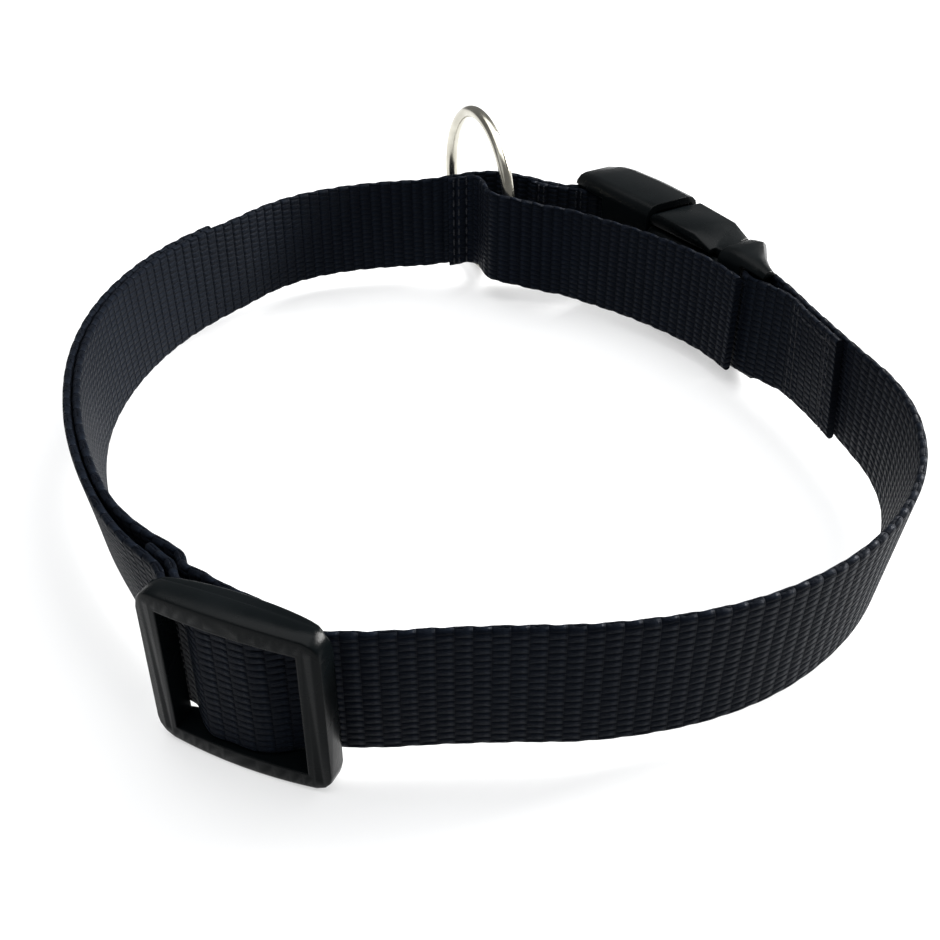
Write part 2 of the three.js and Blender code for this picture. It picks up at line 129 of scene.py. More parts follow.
# Lead ring
RING_BORE = 39.4
RING_WIRE = 3.3
RING_YAW = 112
RING_TURN = 182.9
RING_FLOOR_CLEAR = 0.2
RING_INSET = 11.8
RING_UNDER_LAYERS = 1.8
LIFT_SPAN = 14
RING_STEPS = 160
RING_SIDES = 32

# Moulded pieces
MERGE_DISTANCE = 0.001
SHARP_ANGLE = 32

# Stitching: a seam's place is a distance along its strip
STITCH_SPACING = 2.6
STITCH_LENGTH = 2.1
THREAD_WIDTH = 0.42
STITCH_LIFT = 0.05
STITCH_INSET = 1.4
ROWS_APART = 1.6
FOLD_SEAM = 2.5
FOLD_SECOND_SEAM = 17
FOLD_SIDE_LENGTH = 14.5
FOLD_SIDE_HEIGHTS = (2.0, 23.0)
RETURN_SEAMS_FROM_END = (3.5, 14)
GUARD_SEAM = 1.6
GUARD_ROWS = 3
GUARD_ROWS_APART = 1.5
CROSS_ROW_PARTS = 12
SIDE_ROW_PARTS = 8

# The two faces of a strip, seen along its route
LEFT_FACE = 1
RIGHT_FACE = -1

# Sizes of what the finishes show, in mm
ROW_WANDER = 2.381
FILAMENT_WIDTH = 0.1429
FILAMENT_LENGTH = 1.111
WEAR_PATCH = 22.22
ACETAL_GRIT = 0.3125
ACETAL_FLOW = 11.11
HANDLING_MARK = 1.111
PLATING_HAZE = 8.333
THREAD_PLY = 0.698
PAPER_FIBRE = 2.5

# Camera: it stands in front of the loop's middle, and its picture is square
CAMERA_BACK = 227.0
CAMERA_LEFT = 1.25
CAMERA_HEIGHT = 154.0
CAMERA_DOWN = 35.02
CAMERA_LENS = 46.25

# Worked out from the sizes above
PITCH = WEBBING_THICKNESS + LAYER_GAP
HALF = WEBBING_THICKNESS / 2
FLOOR_CLEAR = ADJUSTER_RAIL + WEBBING_FLOOR_GAP
ADJUSTER_HALF = ADJUSTER_LENGTH / 2
WRAP_RADIUS = BUCKLE_BAR_RADIUS + LAYER_GAP + HALF + BUCKLE_BAR_LOOSE

# Loop: turn clockwise from the front, reach as a share, lean as a share of width
LOOP_FIRST, LOOP_STEP = -120, 15
LOOP_REACHES = (0.862, 0.857, 0.895, 0.978, 1.022, 1.05, 1.05, 1.024, 1.002, 1.042, 1.028, 0.968,
                0.934, 0.93, 0.944, 0.964, 0.987, 1.007, 1.033, 1.02, 0.995, 1.006, 1.03, 0.9)
LOOP_LEANS = (-0.06, -0.076, -0.08, 0.02, 0.14, 0.1, 0.03, -0.012, -0.01, 0, 0, 0.16,
              0.13, 0.06, 0.03, 0.04, 0.03, 0, 0, 0.05, 0.07, 0.03, 0, 0)

# Long strap through the adjuster: along as a share of half its length, and depth
LONG_WEAVE = ((0.68, 1.08), (0.5, 0.66), (0.33, 0.2), (0.16, 0), (-0.16, 0),
              (-0.35, 0.03), (-0.52, 0.45), (-0.68, 1.02), (-0.95, 1.32))

# Short strap behind the adjuster: along, depth, slack in layers
SHORT_SLACK = ((-0.33, 0.14, 2.2), (-0.5, 0.56, 1.5), (-0.68, 1.02, 0.95), (-0.95, 1.32, 0.9))

# Short strap down the left side: turn, layers inside the long one
SHORT_LAYER = ((35, 2.35), (39, 2.15), (44, 1.35), (52, 1.02), (126, 1.02),
               (135, 1.02), (143, 0.3), (151, 0), (197, 0))

# Guard strip: turn, reach
GUARD = ((181, 0.943), (181.7, 0.905), (182.5, 0.862), (183.8, 0.834), (186, 0.823), (190, 0.826),
         (194.1, 0.831), (198.7, 0.828), (203.5, 0.81), (213.5, 0.788), (223.9, 0.776),
         (229.4, 0.773), (234.8, 0.771), (241.1, 0.765), (244.2, 0.762))


def polar(turn, reach):
    """Plan point at a turn clockwise from the front."""
    angle = math.radians(turn)
    return Vector((-math.sin(angle) * reach, -math.cos(angle) * reach))


def loop_column(turn, column):
    """Smooth reading of one column of the loop's closed table."""
    place = (turn - LOOP_FIRST) / LOOP_STEP
    row = math.floor(place)
    share = place - row
    before, start, end, after = (column[(row + k) % len(column)] for k in (-1, 0, 1, 2))
    slope_in = (end - before) / 2
    slope_out = (after - start) / 2
    a = 2 * start - 2 * end + slope_in + slope_out
    b = -3 * start + 3 * end - 2 * slope_in - slope_out
    return ((a * share + b) * share + slope_in) * share + start


def table_column(table, at, column):
    """Straight-line reading of a short table between its rows."""
    for low, high in zip(table, table[1:]):
        if at <= high[0] or high is table[-1]:
            share = min(1, max(0, (at - low[0]) / (high[0] - low[0])))
            return low[column] + (high[column] - low[column]) * share
    return table[0][column]


def loop_point(turn, inward=0.0):
    here = polar(turn, LOOP_REACH * loop_column(turn, LOOP_REACHES))
    ahead = polar(turn + 0.5, LOOP_REACH * loop_column(turn + 0.5, LOOP_REACHES))
    behind = polar(turn - 0.5, LOOP_REACH * loop_column(turn - 0.5, LOOP_REACHES))
    tangent = (ahead - behind).normalized()
    return here + Vector((tangent.y, -tangent.x)) * inward


def along_loop(start, end, inward):
    count = max(2, math.ceil(abs(end - start) / TURN_STEP))
    turns = [start + (end - start) * i / count for i in range(count + 1)]
    return [loop_point(t, inward(t) if callable(inward) else inward) for t in turns]


def plan_frame(turn, stand, yaw):
    """A piece's own frame in plan, as a function from its x and y to a plan point."""
    place = polar(turn, stand)
    c, s = math.cos(math.radians(yaw)), math.sin(math.radians(yaw))
    return lambda x, y: Vector((place.x + x * c - y * s, place.y + x * s + y * c))


def arc_points(at, x, y, radius, start, end, count):
    angles = [math.radians(start + (end - start) * i / count) for i in range(count + 1)]
    return [at(x + radius * math.cos(a), y + radius * math.sin(a)) for a in angles]


def beside(points, distance):
    """A line moved sideways: a positive distance goes towards the neck."""
    moved = []
    for i, point in enumerate(points):
        tangent = (points[min(i + 1, len(points) - 1)] - points[max(i - 1, 0)]).normalized()
        moved.append(point + Vector((tangent.y, -tangent.x)) * distance)
    return moved


adjuster_at = plan_frame(ADJUSTER_TURN, ADJUSTER_STAND, ADJUSTER_YAW)
buckle_at = plan_frame(BUCKLE_TURN, BUCKLE_STAND, BUCKLE_YAW)

# Ring: how high it stands, and how far it lifts the webbing that goes through it
RING_RADIUS = (RING_BORE + RING_WIRE) / 2
RING_HEIGHT = RING_FLOOR_CLEAR + RING_RADIUS + RING_WIRE / 2
RING_OFFSET = RING_RADIUS - RING_INSET / math.sin(math.radians(RING_YAW))
RING_CHORD = math.sqrt((RING_BORE / 2) ** 2 - (RING_OFFSET + PITCH / 2) ** 2)
STRAP_LIFT = max(0, RING_HEIGHT - RING_CHORD + RING_UNDER_LAYERS * LAYER_GAP - FLOOR_CLEAR)

bars = [buckle_at(PLUG_BAR_ALONG, PLUG_BAR_DEPTH), buckle_at(SOCKET_BAR_ALONG, SOCKET_BAR_DEPTH)]


def smoothstep(x, low, high):
    t = min(1, max(0, (x - low) / (high - low)))
    return t * t * (3 - 2 * t)


def lift_at(point):
    turn = math.degrees(math.atan2(-point.x, -point.y))
    away = abs(((turn - RING_TURN + 540) % 360) - 180) / LIFT_SPAN
    return STRAP_LIFT * math.cos(away * math.pi / 2) ** 2 if away < 1 else 0


def lean_at(point):
    turn = math.degrees(math.atan2(-point.x, -point.y))
    nearest = min((bar - point).length for bar in bars)
    share = smoothstep(nearest, 2 * WRAP_RADIUS, LEAN_FADE)
    return share * WEBBING_WIDTH * loop_column(turn, LOOP_LEANS)


def guard_lean(point):
    return smoothstep(point.length / LOOP_REACH, GUARD_LEAN_START, GUARD_LEAN_FULL) * lean_at(point)


BEHIND_SIDE_BAR = ADJUSTER_DEPTH + LAYER_GAP + HALF


def weave_point(along, depth, further=0.0):
    return adjuster_at(along * ADJUSTER_HALF, HALF + (BEHIND_SIDE_BAR - HALF) * depth + further)


long_weave = [weave_point(*row) for row in LONG_WEAVE]
bar_front = HALF + PITCH + HALF + ADJUSTER_BAR_CLEAR
bar_back = bar_front + ADJUSTER_BAR_THICKNESS
short_front = HALF + PITCH
short_back = bar_back + LAYER_GAP + HALF + ADJUSTER_LOOSE
short_wrap = (short_back - short_front) / 2

short_end = long_weave[4:] + along_loop(LONG_LEAVES_ADJUSTER, SHORT_END_TURN, 0)
short_wrap_along = ADJUSTER_BAR_WIDTH / 2 - ADJUSTER_WRAP_INSET

long_route = (
    along_loop(FOLD_BACK_TURN, LONG_MEETS_PLUG, PITCH)
    + arc_points(buckle_at, PLUG_BAR_ALONG, PLUG_BAR_DEPTH, WRAP_RADIUS, *PLUG_WRAP, WRAP_STEPS)
    + along_loop(LONG_LEAVES_PLUG, LONG_MEETS_ADJUSTER, 0)
    + long_weave
    + along_loop(LONG_LEAVES_ADJUSTER, TAIL_TURN, 0)
)
short_route = (
    beside(short_end, SHORT_END_LAYER * PITCH)[::-1]
    + arc_points(adjuster_at, short_wrap_along, short_front + short_wrap, short_wrap,
                 *ADJUSTER_WRAP, WRAP_STEPS)
    + [weave_point(along, depth, (2 + slack) * PITCH) for along, depth, slack in SHORT_SLACK]
    + along_loop(SHORT_LEAVES_ADJUSTER, SHORT_MEETS_SOCKET,
                 lambda t: PITCH * table_column(SHORT_LAYER, t, 1))
    + arc_points(buckle_at, SOCKET_BAR_ALONG, SOCKET_BAR_DEPTH, WRAP_RADIUS, *SOCKET_WRAP, WRAP_STEPS)
    + along_loop(SHORT_LEAVES_SOCKET, RETURN_TURN, PITCH * RETURN_LAYER)
)
guard_route = along_loop(GUARD_END_TURN, GUARD_LEAVE_TURN, GUARD_LAYER * PITCH) + [
    polar(turn, reach * LOOP_REACH) for turn, reach in GUARD
]

# The frame's origin is under the middle of the collar; the loop's middle lies here
ring_low, ring_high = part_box("lead_ring")
ring_way = Vector((math.cos(math.radians(RING_YAW)), math.sin(math.radians(RING_YAW))))
ring_place = loop_point(RING_TURN) + ring_way * RING_OFFSET
loop_middle = (ring_low + ring_high).to_2d() / 2 - ring_place * MM


def in_frame(point, up):
    """A plan point of the loop and a height, both in mm, as a point of the frame."""
    return Vector((loop_middle.x + point.x * MM, loop_middle.y + point.y * MM, up * MM))


def centripetal(points, fineness):
    """The smooth line through plan points that the frame's webbing follows."""
    line = [points[0] * 2 - points[1], *points, points[-1] * 2 - points[-2]]
    out = []
    for i in range(1, len(line) - 2):
        p0, p1, p2, p3 = line[i - 1:i + 3]
        d0, d1, d2 = ((b - a).length ** 0.5 for a, b in ((p0, p1), (p1, p2), (p2, p3)))
        m1 = ((p1 - p0) / d0 - (p2 - p0) / (d0 + d1) + (p2 - p1) / d1) * d1
        m2 = ((p2 - p1) / d1 - (p3 - p1) / (d1 + d2) + (p3 - p2) / d2) * d1
        for k in range(fineness):
            t = k / fineness
            a = p1 * 2 - p2 * 2 + m1 + m2
            b = p2 * 3 - p1 * 3 - m1 * 2 - m2
            out.append(((a * t + b) * t + m1) * t + p1)
    return out + [points[-1]]


def even(points, step):
    """The same line with its points an even distance apart, and their distances."""
    reach = [0.0]
    for a, b in zip(points, points[1:]):
        reach.append(reach[-1] + (b - a).length)
    count = max(2, round(reach[-1] / step))
    out, j = [], 0
    for i in range(count + 1):
        want = reach[-1] * i / count
        while j < len(points) - 2 and reach[j + 1] < want:
            j += 1
        share = (want - reach[j]) / max(1e-9, reach[j + 1] - reach[j])
        out.append((points[j].lerp(points[j + 1], min(1, share)), want))
    return out


# Colours and nodes

MULTIPLY = {"operation": "MULTIPLY"}
MULTIPLY_ADD = {"operation": "MULTIPLY_ADD"}
FRACTION = {"operation": "FRACT"}
SPACE = {"noise_dimensions": "3D"}
BLEND = {"data_type": "RGBA"}

# A diagonal wave of scale 1 repeats at this distance
WAVE_REPEAT = math.pi / 5


def colour(hex_value):
    """An sRGB hex colour as linear RGBA."""
    parts = [int(hex_value[i:i + 2], 16) / 255 for i in (1, 3, 5)]
    return (*(p / 12.92 if p <= 0.04045 else ((p + 0.055) / 1.055) ** 2.4 for p in parts), 1)


def fits(size):
    """How many times a size in mm fits in a metre, which is a pattern's scale."""
    return 1 / (size * MM)


def add(tree, kind, settings=None, **inputs):
    """Adds a node with its settings, and its inputs as values or as links."""
    node = tree.nodes.new(kind)
    for key, value in (settings or {}).items():
        setattr(node, key, value)
    for key, value in inputs.items():
        name = key.replace("_", " ").strip()
        numbered = name.startswith("in") and name[2:].isdigit()
        socket = node.inputs[int(name[2:]) if numbered else name]
        if isinstance(value, bpy.types.NodeSocket):
            tree.links.new(value, socket)
        else:
            socket.default_value = value
    return node


def material(name):
    made = bpy.data.materials.new(name)
    made.use_nodes = True
    made.node_tree.nodes.clear()
    return made, made.node_tree


def woven_polyester(name, deep, worn_and_glint, phase):
    """Woven polyester webbing: columns of short grains, each column half a grain on."""
    made, tree = material(name)
    uv = add(tree, "ShaderNodeUVMap", {"uv_map": "webbing"}).outputs[0]
    wobble = add(tree, "ShaderNodeTexNoise", SPACE, Vector=uv,
                 Scale=fits(ROW_WANDER), Detail=2.0).outputs[0]
    parts = add(tree, "ShaderNodeSeparateXYZ", Vector=uv)
    columns = add(tree, "ShaderNodeMath", MULTIPLY_ADD, in0=parts.outputs[0],
                  in1=fits(GRAIN_LENGTH), in2=phase).outputs[0]
    column = add(tree, "ShaderNodeMath", {"operation": "FLOOR"}, in0=columns).outputs[0]
    stagger = add(tree, "ShaderNodeMath", {"operation": "PINGPONG"}, in0=column, in1=1.0).outputs[0]
    shift = add(tree, "ShaderNodeMath", MULTIPLY, in0=stagger, in1=0.5).outputs[0]
    uneven = add(tree, "ShaderNodeMath", MULTIPLY_ADD, in0=wobble, in1=0.3, in2=shift).outputs[0]
    grains = add(tree, "ShaderNodeMath", MULTIPLY_ADD, in0=parts.outputs[1],
                 in1=fits(GRAIN_PITCH), in2=uneven).outputs[0]
    in_row = add(tree, "ShaderNodeMath", FRACTION, in0=grains).outputs[0]
    in_grain = add(tree, "ShaderNodeMath", FRACTION, in0=columns).outputs[0]
    # A yarn's cross-section is a flattened round, and it dips where a weft covers it
    across = add(tree, "ShaderNodeFloatCurve", in1=in_row)
    along = add(tree, "ShaderNodeFloatCurve", in1=in_grain)
    dips = add(tree, "ShaderNodeMath", MULTIPLY_ADD, in0=along.outputs[0], in1=0.88, in2=0.12).outputs[0]
    relief = add(tree, "ShaderNodeMath", MULTIPLY, in0=across.outputs[0], in1=dips).outputs[0]
    # Filaments of about 0.14 mm run along each yarn
    per_filament = (fits(FILAMENT_LENGTH), fits(FILAMENT_WIDTH), 1.0)
    stretch = add(tree, "ShaderNodeVectorMath", MULTIPLY, in0=uv, in1=per_filament).outputs[0]
    filaments = add(tree, "ShaderNodeTexNoise", SPACE, Vector=stretch, Scale=1.0, Detail=3.0).outputs[0]
    height = add(tree, "ShaderNodeMath", MULTIPLY_ADD, in0=filaments, in1=0.3, in2=relief).outputs[0]
    bump = add(tree, "ShaderNodeBump", Strength=1.0, Distance=0.8 * MM, Height=height).outputs[0]
    place = add(tree, "ShaderNodeTexCoord").outputs["Object"]
    patches = add(tree, "ShaderNodeTexNoise", SPACE, Vector=place,
                  Scale=fits(WEAR_PATCH), Detail=3.0).outputs[0]
    # Painted highlight: each grain's knuckle, where it comes up out of the weave, is brightened in the
    # base colour as a glint, and is also made glossier
    knuckle = add(tree, "ShaderNodeFloatCurve", in1=in_grain)
    for node, heights in ((across, ((0.15, 0.62), (0.5, 1.0), (0.85, 0.62))),
                          (along, ((0.12, 0.7), (0.35, 1.0), (0.75, 0.6))),
                          (knuckle, ((0.08, 0.25), (0.25, 1.0), (0.45, 0.2)))):
        curve = node.mapping.curves[0]
        for x, y in heights:
            curve.points.new(x, y)
        curve.points[0].location = (0, 0)
        curve.points[-1].location = (1, 0)
        node.mapping.update()
    knuckle_glint_dots = add(tree, "ShaderNodeMath", MULTIPLY, in0=knuckle.outputs[0], in1=across.outputs[0]).outputs[0]
    # Painted shade: the base colour is darker where the weave dips and lighter on the raised yarn,
    # mottled by real wear patches
    dip_shade_and_wear = add(tree, "ShaderNodeMath", MULTIPLY, in0=height, in1=patches).outputs[0]
    shade_glint_and_wear = add(tree, "ShaderNodeMath", {"operation": "MULTIPLY_ADD", "use_clamp": True},
              in0=knuckle_glint_dots, in1=0.5, in2=dip_shade_and_wear).outputs[0]
    # The pale tint stands for real wear and for the painted glints and raised-yarn highlights
    tint = add(tree, "ShaderNodeMix", BLEND, in0=shade_glint_and_wear, in6=colour(deep), in7=colour(worn_and_glint)).outputs[2]
    dull = add(tree, "ShaderNodeMapRange", in0=filaments, in1=0.3, in2=0.7, in3=0.5, in4=0.7).outputs[0]
    gloss = add(tree, "ShaderNodeMath", MULTIPLY_ADD, in0=knuckle_glint_dots, in1=-0.22, in2=dull).outputs[0]
    shader = add(tree, "ShaderNodeBsdfPrincipled", Base_Color=tint, Roughness=gloss, Normal=bump)
    shader.inputs["IOR"].default_value = 1.5
    # Solution-dyed yarn is nearly black face on and takes its lustre at a low angle
    shader.inputs["Specular IOR Level"].default_value = 0.05
    shader.inputs["Specular Tint"].default_value = colour("#C3CFE8")
    shader.inputs["Sheen Weight"].default_value = 0.02
    shader.inputs["Sheen Roughness"].default_value = 0.4
    shader.inputs["Sheen Tint"].default_value = colour("#B9C2D6")
    add(tree, "ShaderNodeOutputMaterial", Surface=shader.outputs[0])
    return made


def moulded_acetal(name, deep, pale, edge_round):
    """Moulded acetal: spark-eroded grain, soft sheen, edges rounded by the mould."""
    made, tree = material(name)
    place = add(tree, "ShaderNodeTexCoord").outputs["Object"]
    grain = add(tree, "ShaderNodeTexNoise", SPACE, Vector=place,
                Scale=fits(ACETAL_GRIT), Detail=2.0).outputs[0]
    flow = add(tree, "ShaderNodeTexNoise", SPACE, Vector=place,
               Scale=fits(ACETAL_FLOW), Detail=4.0).outputs[0]
    rounded = add(tree, "ShaderNodeBevel", {"samples": 6}, Radius=edge_round * MM).outputs[0]
    bump = add(tree, "ShaderNodeBump", Strength=0.22, Distance=0.08 * MM, Height=grain,
               Normal=rounded).outputs[0]
    tint = add(tree, "ShaderNodeMix", BLEND, in0=flow, in6=colour(deep), in7=colour(pale)).outputs[2]
    gloss = add(tree, "ShaderNodeMapRange", in0=flow, in1=0.35, in2=0.65, in3=0.22, in4=0.34).outputs[0]
    shader = add(tree, "ShaderNodeBsdfPrincipled", Base_Color=tint, Roughness=gloss, Normal=bump)
    shader.inputs["IOR"].default_value = 1.48
    shader.inputs["Specular IOR Level"].default_value = 0.07
    add(tree, "ShaderNodeOutputMaterial", Surface=shader.outputs[0])
    return made


def nickel_plate(name):
    """Nickel-plated steel wire: bright, faintly warm, with fine handling marks."""
    made, tree = material(name)
    place = add(tree, "ShaderNodeTexCoord").outputs["Object"]
    marks = add(tree, "ShaderNodeTexNoise", SPACE, Vector=place,
                Scale=fits(HANDLING_MARK), Detail=4.0).outputs[0]
    dull = add(tree, "ShaderNodeTexNoise", SPACE, Vector=place,
               Scale=fits(PLATING_HAZE), Detail=2.0).outputs[0]
    bump = add(tree, "ShaderNodeBump", Strength=0.12, Distance=0.04 * MM, Height=marks).outputs[0]
    tint = add(tree, "ShaderNodeMix", BLEND, in0=dull, in6=colour("#7E7A6C"),
               in7=colour("#D4D1C6")).outputs[2]
    gloss = add(tree, "ShaderNodeMapRange", in0=dull, in1=0.35, in2=0.65, in3=0.14, in4=0.26).outputs[0]
    shader = add(tree, "ShaderNodeBsdfPrincipled", Base_Color=tint, Roughness=gloss, Normal=bump)
    shader.inputs["Metallic"].default_value = 1.0
    add(tree, "ShaderNodeOutputMaterial", Surface=shader.outputs[0])
    return made


def spun_thread(name):
    """Bonded polyester thread: two plies, slightly glossier than the webbing."""
    made, tree = material(name)
    place = add(tree, "ShaderNodeTexCoord").outputs["Object"]
    plies = add(tree, "ShaderNodeTexWave", {"bands_direction": "DIAGONAL"}, Vector=place,
                Scale=fits(THREAD_PLY) * WAVE_REPEAT, Distortion=1.0).outputs[1]
    bump = add(tree, "ShaderNodeBump", Strength=0.5, Distance=0.1 * MM, Height=plies).outputs[0]
    tint = add(tree, "ShaderNodeMix", BLEND, in0=plies, in6=colour("#05070C"),
               in7=colour("#181C26")).outputs[2]
    shader = add(tree, "ShaderNodeBsdfPrincipled", Base_Color=tint, Normal=bump)
    shader.inputs["Roughness"].default_value = 0.5
    shader.inputs["Specular IOR Level"].default_value = 0.25
    shader.inputs["Sheen Weight"].default_value = 0.05
    add(tree, "ShaderNodeOutputMaterial", Surface=shader.outputs[0])
    return made


def matt_paper(name):
    """Matt white sweep under the collar, lit a little from below as on a light table."""
    made, tree = material(name)
    place = add(tree, "ShaderNodeTexCoord").outputs["Object"]
    fibre = add(tree, "ShaderNodeTexNoise", SPACE, Vector=place,
                Scale=fits(PAPER_FIBRE), Detail=2.0).outputs[0]
    bump = add(tree, "ShaderNodeBump", Strength=0.03, Distance=0.05 * MM, Height=fibre).outputs[0]
    shader = add(tree, "ShaderNodeBsdfPrincipled", Normal=bump)
    shader.inputs["Emission Color"].default_value = colour("#FFFFFF")
    shader.inputs["Emission Strength"].default_value = 0.5
    shader.inputs["Base Color"].default_value = colour("#B6B7B8")
    shader.inputs["Roughness"].default_value = 0.85
    add(tree, "ShaderNodeOutputMaterial", Surface=shader.outputs[0])
    return made


webbing_finish = woven_polyester("woven_polyester_navy", "#03050A", "#0C1119", 0.0)
guard_finish = woven_polyester("woven_polyester_guard", "#03050A", "#0C111A", 0.31)
acetal_finish = moulded_acetal("moulded_acetal_black", "#040607", "#080C0E", 0.45)
nickel_finish = nickel_plate("nickel_plated_steel")
thread_finish = spun_thread("bonded_polyester_thread")
paper_finish = matt_paper("matt_white_paper")


def as_piece(built, name, node, body, finish):
    """Makes a finished shape a piece that stands for its node and rides on its body."""
    mesh = bpy.data.meshes.new(name)
    built.to_mesh(mesh)
    built.free()
    mesh.materials.append(finish)
    piece = bpy.data.objects.new(name, mesh)
    bpy.context.collection.objects.link(piece)
    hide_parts(node)
    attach(piece, body)


Station = namedtuple("Station", "place left lean lift distance")


def ribbon_frames(route, step, lean):
    """Stations along a webbing, with the way to its left and how it leans and lifts."""
    line = even(centripetal(route, LINE_FINENESS), step)
    frames = []
    for i, (point, distance) in enumerate(line):
        tangent = (line[min(i + 1, len(line) - 1)][0] - line[max(i - 1, 0)][0]).normalized()
        left = Vector((-tangent.y, tangent.x))
        frames.append(Station(point, left, lean(point), lift_at(point), distance))
    return frames


def webbing(name, node, body, route, lean, finish):
    """A woven ribbon on edge, with rounded selvedges that the weft makes bumpy."""
    w, h = WEBBING_WIDTH, HALF
    bends = [math.pi * k / EDGE_STEPS for k in range(1, EDGE_STEPS)]
    outline = [(-h, h + (w - 2 * h) * k / FACES_ACROSS) for k in range(FACES_ACROSS + 1)]
    outline += [(-h * math.cos(bend), w - h + h * math.sin(bend)) for bend in bends]
    outline += [(h, w - h - (w - 2 * h) * k / FACES_ACROSS) for k in range(FACES_ACROSS + 1)]
    outline += [(h * math.cos(bend), h - h * math.sin(bend)) for bend in bends]
    frames = ribbon_frames(route, STATION_STEP, lean)
    built = bmesh.new()
    uv = built.loops.layers.uv.new("webbing")
    rings = []
    for point, left, tilt, lift, distance in frames:
        radial = point.normalized()
        swell = SELVEDGE_BUMP * math.sin(2 * math.pi * distance / SELVEDGE_PITCH)
        fine = SELVEDGE_FINE_BUMP * math.sin(4 * math.pi * distance / SELVEDGE_PITCH + 1)
        ring = []
        for across, up in outline:
            edge = max(0, abs(up / w - 0.5) * 2 - SELVEDGE_START) / SELVEDGE_BAND
            rise = (swell + fine) * edge * (1 if up > w / 2 else -1)
            plan = point + left * across + radial * (tilt * (up / w - 0.5))
            ring.append(built.verts.new(in_frame(plan, FLOOR_CLEAR + lift + up + rise)))
        rings.append(ring)
    size = len(outline)
    heights = [up * MM for _, up in outline]
    for r in range(len(rings) - 1):
        s0, s1 = frames[r].distance * MM, frames[r + 1].distance * MM
        for k in range(size):
            n = (k + 1) % size
            face = built.faces.new((rings[r][k], rings[r][n], rings[r + 1][n], rings[r + 1][k]))
            face.smooth = True
            places = ((s0, heights[k]), (s0, heights[n]), (s1, heights[n]), (s1, heights[k]))
            for loop, place in zip(face.loops, places):
                loop[uv].uv = place
    for ring, distance in ((rings[0], frames[0].distance), (rings[-1][::-1], frames[-1].distance)):
        end = built.faces.new(ring[::-1])
        for loop in end.loops:
            loop[uv].uv = (distance * MM, loop.vert.co.z)
    bmesh.ops.recalc_face_normals(built, faces=built.faces)
    as_piece(built, name, node, body, finish)
    return frames


def dressed_solid(name, node, body, finish):
    """A moulded piece from its solid: faces joined, curved runs shaded smooth."""
    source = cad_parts[node].data
    built = bmesh.new()
    built.from_mesh(source)
    bmesh.ops.remove_doubles(built, verts=built.verts, dist=MERGE_DISTANCE * MM)
    for face in built.faces:
        face.smooth = True
    sharp = math.radians(SHARP_ANGLE)
    for edge in built.edges:
        edge.smooth = len(edge.link_faces) == 2 and edge.calc_face_angle(math.pi) < sharp
    as_piece(built, name, node, body, finish)


def plated_ring(name, node, body, finish):
    """The round wire ring, welded closed, in its solid's place."""
    centre = (ring_low + ring_high) / 2
    through = Vector((-ring_way.y, ring_way.x))
    built = bmesh.new()
    rings = []
    for i in range(RING_STEPS):
        a = 2 * math.pi * i / RING_STEPS
        ring = []
        for k in range(RING_SIDES):
            b = 2 * math.pi * k / RING_SIDES
            out = (RING_RADIUS + RING_WIRE / 2 * math.cos(b)) * MM
            plan = ring_way * out * math.cos(a) + through * RING_WIRE / 2 * MM * math.sin(b)
            ring.append(built.verts.new(centre + Vector((plan.x, plan.y, out * math.sin(a)))))
        rings.append(ring)
    for i in range(RING_STEPS):
        here, after = rings[i], rings[(i + 1) % RING_STEPS]
        for k in range(RING_SIDES):
            n = (k + 1) % RING_SIDES
            built.faces.new((here[k], here[n], after[n], after[k])).smooth = True
    bmesh.ops.recalc_face_normals(built, faces=built.faces)
    as_piece(built, name, node, body, finish)


# Stitching: short thread bars along a run, made by one tree of Geometry Nodes

STITCH_SIZES = {"Spacing": STITCH_SPACING * MM, "Stitch length": STITCH_LENGTH * MM,
                "Thread": THREAD_WIDTH * MM}


def stitch_tree(name):
    """Runs in, rows of sunk thread bars out: one bar for each spacing of the run."""
    tree = bpy.data.node_groups.new(name, "GeometryNodeTree")
    face = tree.interface
    face.new_socket("Geometry", in_out="INPUT", socket_type="NodeSocketGeometry")
    for label, value in STITCH_SIZES.items():
        face.new_socket(label, in_out="INPUT", socket_type="NodeSocketFloat").default_value = value
    face.new_socket("Geometry", in_out="OUTPUT", socket_type="NodeSocketGeometry")
    given = add(tree, "NodeGroupInput").outputs
    run = add(tree, "GeometryNodeMeshToCurve", Mesh=given[0]).outputs[0]
    spots = add(tree, "GeometryNodeCurveToPoints", {"mode": "LENGTH"}, Curve=run, Length=given["Spacing"])
    bar = add(tree, "GeometryNodeMeshUVSphere", Segments=8, Rings=6, Radius=0.5).outputs[0]
    size = add(tree, "ShaderNodeCombineXYZ", X=given["Thread"], Y=given["Thread"],
               Z=given["Stitch length"]).outputs[0]
    laid = add(tree, "GeometryNodeInstanceOnPoints", Points=spots.outputs[0], Instance=bar,
               Rotation=spots.outputs["Rotation"], Scale=size).outputs[0]
    real = add(tree, "GeometryNodeRealizeInstances", Geometry=laid).outputs[0]
    dyed = add(tree, "GeometryNodeSetMaterial", Geometry=real, Material=thread_finish).outputs[0]
    smooth = add(tree, "GeometryNodeSetShadeSmooth", Geometry=dyed).outputs[0]
    add(tree, "NodeGroupOutput", in0=smooth)
    return tree


